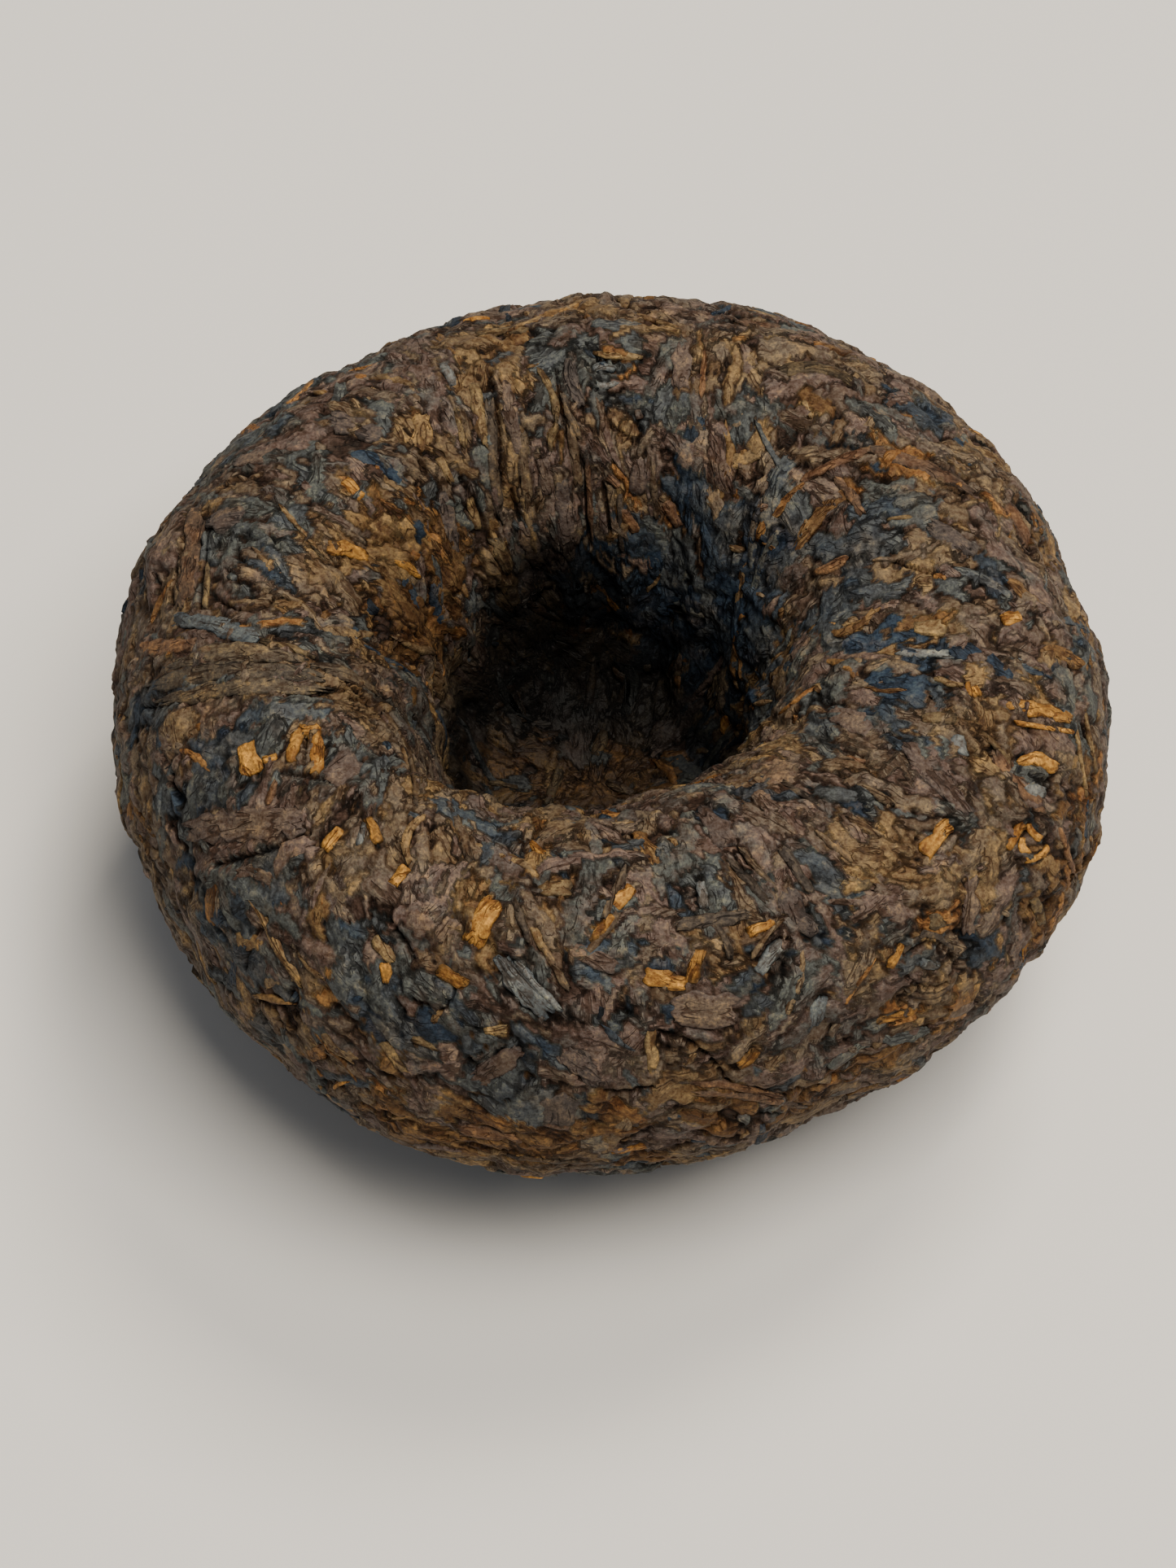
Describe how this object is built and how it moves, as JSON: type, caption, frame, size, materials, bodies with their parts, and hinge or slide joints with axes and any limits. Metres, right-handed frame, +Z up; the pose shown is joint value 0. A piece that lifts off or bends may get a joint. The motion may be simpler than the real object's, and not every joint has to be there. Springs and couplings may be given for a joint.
{
  "type": "pu-erh tuocha",
  "caption": "Small nest of pressed dark ripe tea, domed below with a flat spot to rest on, its broad rolled rim falling to a deep funnel-shaped hollow.",
  "frame": {"origin": "on the floor plane, at the flat spot that the dome rests on, under the middle of the part's box", "axes": "+Z up through the hollow, along the part's shortest side; +X to the right in the picture and -Y towards its viewer"},
  "size_m": [0.0272, 0.0268, 0.0149],
  "materials": {
    "pressed_tea": "dark brown pressed tea leaf, matt, with a slight sheen on the smoothed flakes"
  },
  "bodies": {
    "root": {"tuocha": "pressed_tea"}
  },
  "joints": []
}
